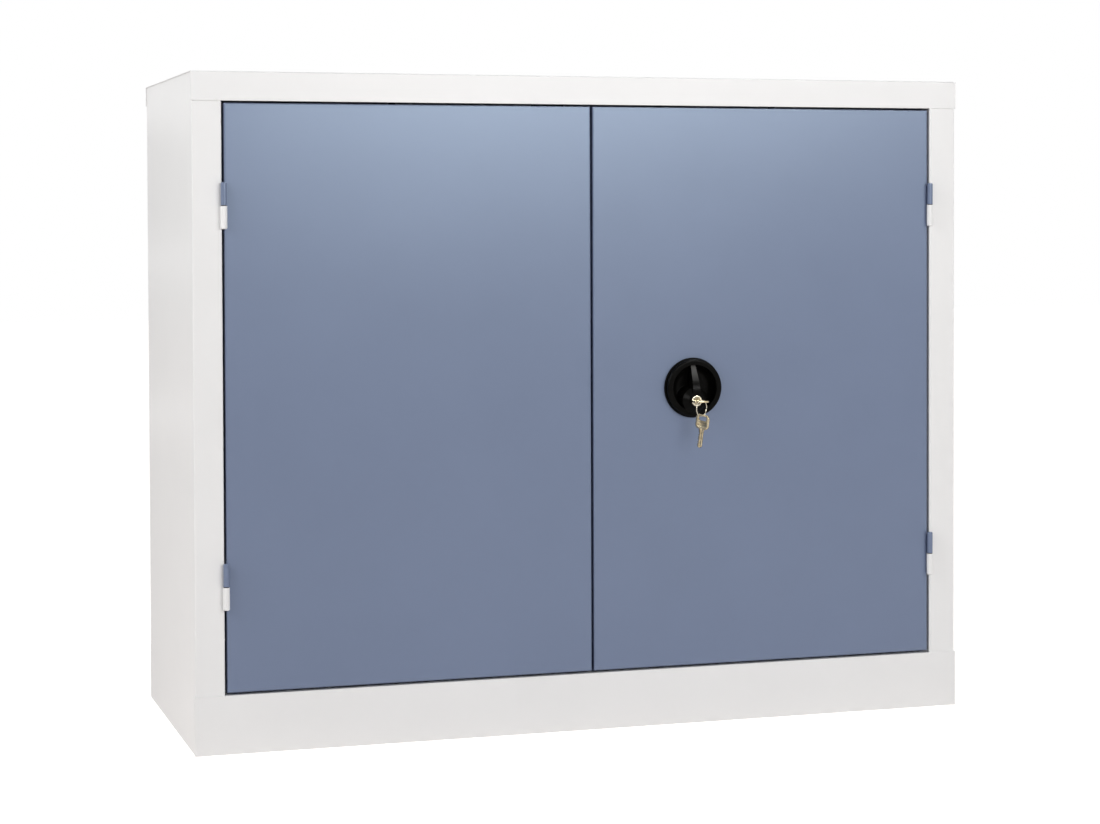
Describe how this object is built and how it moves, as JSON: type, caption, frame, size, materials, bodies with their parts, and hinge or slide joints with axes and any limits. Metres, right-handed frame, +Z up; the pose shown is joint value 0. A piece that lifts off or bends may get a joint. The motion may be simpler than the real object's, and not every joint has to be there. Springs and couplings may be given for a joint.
{
  "type": "tool cabinet with doors",
  "caption": "Low steel tool cabinet: two hinged doors, turning handle with key lock that drives locking rods, adjustable shelves inside.",
  "frame": {"origin": "middle of the footprint, on the floor", "axes": "+X to the right as seen from the front, +Y to the back, +Z up"},
  "size_m": [1.2, 0.5145, 0.98],
  "materials": {
    "white_paint": "fine-textured white powder coat",
    "door_paint": "fine-textured blue-grey powder coat",
    "zinc_steel": "bright zinc plate",
    "black_plastic": "moulded black plastic, satin",
    "rubber": "black rubber",
    "nickel": "worn nickel plate"
  },
  "bodies": {
    "cabinet": {"left_side_panel": "white_paint", "right_side_panel": "white_paint", "top_panel": "white_paint", "back_panel": "white_paint", "plinth": "white_paint", "rear_plinth": "white_paint", "floor_panel": "white_paint", "base_bearer": "white_paint", "top_stiffener": "white_paint", "front_left_rack": "zinc_steel", "rear_left_rack": "zinc_steel", "front_right_rack": "zinc_steel", "rear_right_rack": "zinc_steel", "lower_shelf": "white_paint", "upper_shelf": "white_paint", "lower_shelf_clips": "zinc_steel", "upper_shelf_clips": "zinc_steel", "left_frame_hinges": "white_paint", "right_frame_hinges": "white_paint", "left_hinge_pins": "zinc_steel", "right_hinge_pins": "zinc_steel", "hinge_washers": "black_plastic", "door_buffers": "rubber", "magnet_catch": "black_plastic"},
    "left_door": {"left_door_panel": "door_paint", "left_door_stiffener": "door_paint", "left_door_hinges": "door_paint", "catch_strike": "zinc_steel"},
    "right_door": {"right_door_panel": "door_paint", "right_door_stiffener": "door_paint", "right_door_hinges": "door_paint", "handle_housing": "black_plastic", "housing_nut": "black_plastic", "lock_case": "zinc_steel", "lock_case_cover": "zinc_steel", "lock_case_screws": "zinc_steel", "rod_guides": "zinc_steel"},
    "handle": {"handle_knob": "black_plastic", "drive_spindle": "zinc_steel", "drive_pinion": "zinc_steel", "spindle_screw": "zinc_steel", "lock_cylinder": "nickel"},
    "key_and_plug": {"lock_plug": "nickel", "lock_cam": "zinc_steel", "door_key": "nickel"},
    "ring": {"key_ring": "nickel"},
    "hanging_key": {"spare_key": "nickel"},
    "upper_bolt": {"upper_rod": "zinc_steel"},
    "lower_bolt": {"lower_rod": "zinc_steel"}
  },
  "joints": [
    {"name": "left_door_hinge", "type": "hinge", "parent": "cabinet", "child": "left_door", "pos_m": [-0.55405, -0.2345, 0.515], "axis": [0, 0, -1], "range_deg": [0, 170]},
    {"name": "right_door_hinge", "type": "hinge", "parent": "cabinet", "child": "right_door", "pos_m": [0.55405, -0.2345, 0.515], "axis": [0, 0, 1], "range_deg": [0, 170]},
    {"name": "handle_turn", "type": "hinge", "parent": "right_door", "child": "handle", "pos_m": [0.16, -0.2288, 0.511], "axis": [0, 1, 0], "range_deg": [0, 90]},
    {"name": "key_turn", "type": "hinge", "parent": "handle", "child": "key_and_plug", "pos_m": [0.16, -0.2288, 0.492], "axis": [0, -1, 0], "range_deg": [0, 90]},
    {"name": "upper_rod_slide", "type": "slide", "parent": "right_door", "child": "upper_bolt", "axis": [0, 0, 1], "range_m": [0, 0.0165]},
    {"name": "lower_rod_slide", "type": "slide", "parent": "right_door", "child": "lower_bolt", "axis": [0, 0, -1], "range_m": [0, 0.0165]},
    {"name": "ring_swing", "type": "hinge", "parent": "key_and_plug", "child": "ring", "pos_m": [0.1585, -0.2718, 0.494], "axis": [0.848, 0.5299, 0], "range_deg": [-12, 12]},
    {"name": "spare_key_swing", "type": "hinge", "parent": "ring", "child": "hanging_key", "pos_m": [0.1585, -0.2718, 0.47], "axis": [0.848, 0.5299, 0], "range_deg": [-20, 20]}
  ],
  "couplings": [
    {"joint": "upper_rod_slide", "follows": "handle_turn", "m_per_rad": 0.0105},
    {"joint": "lower_rod_slide", "follows": "handle_turn", "m_per_rad": 0.0105}
  ]
}
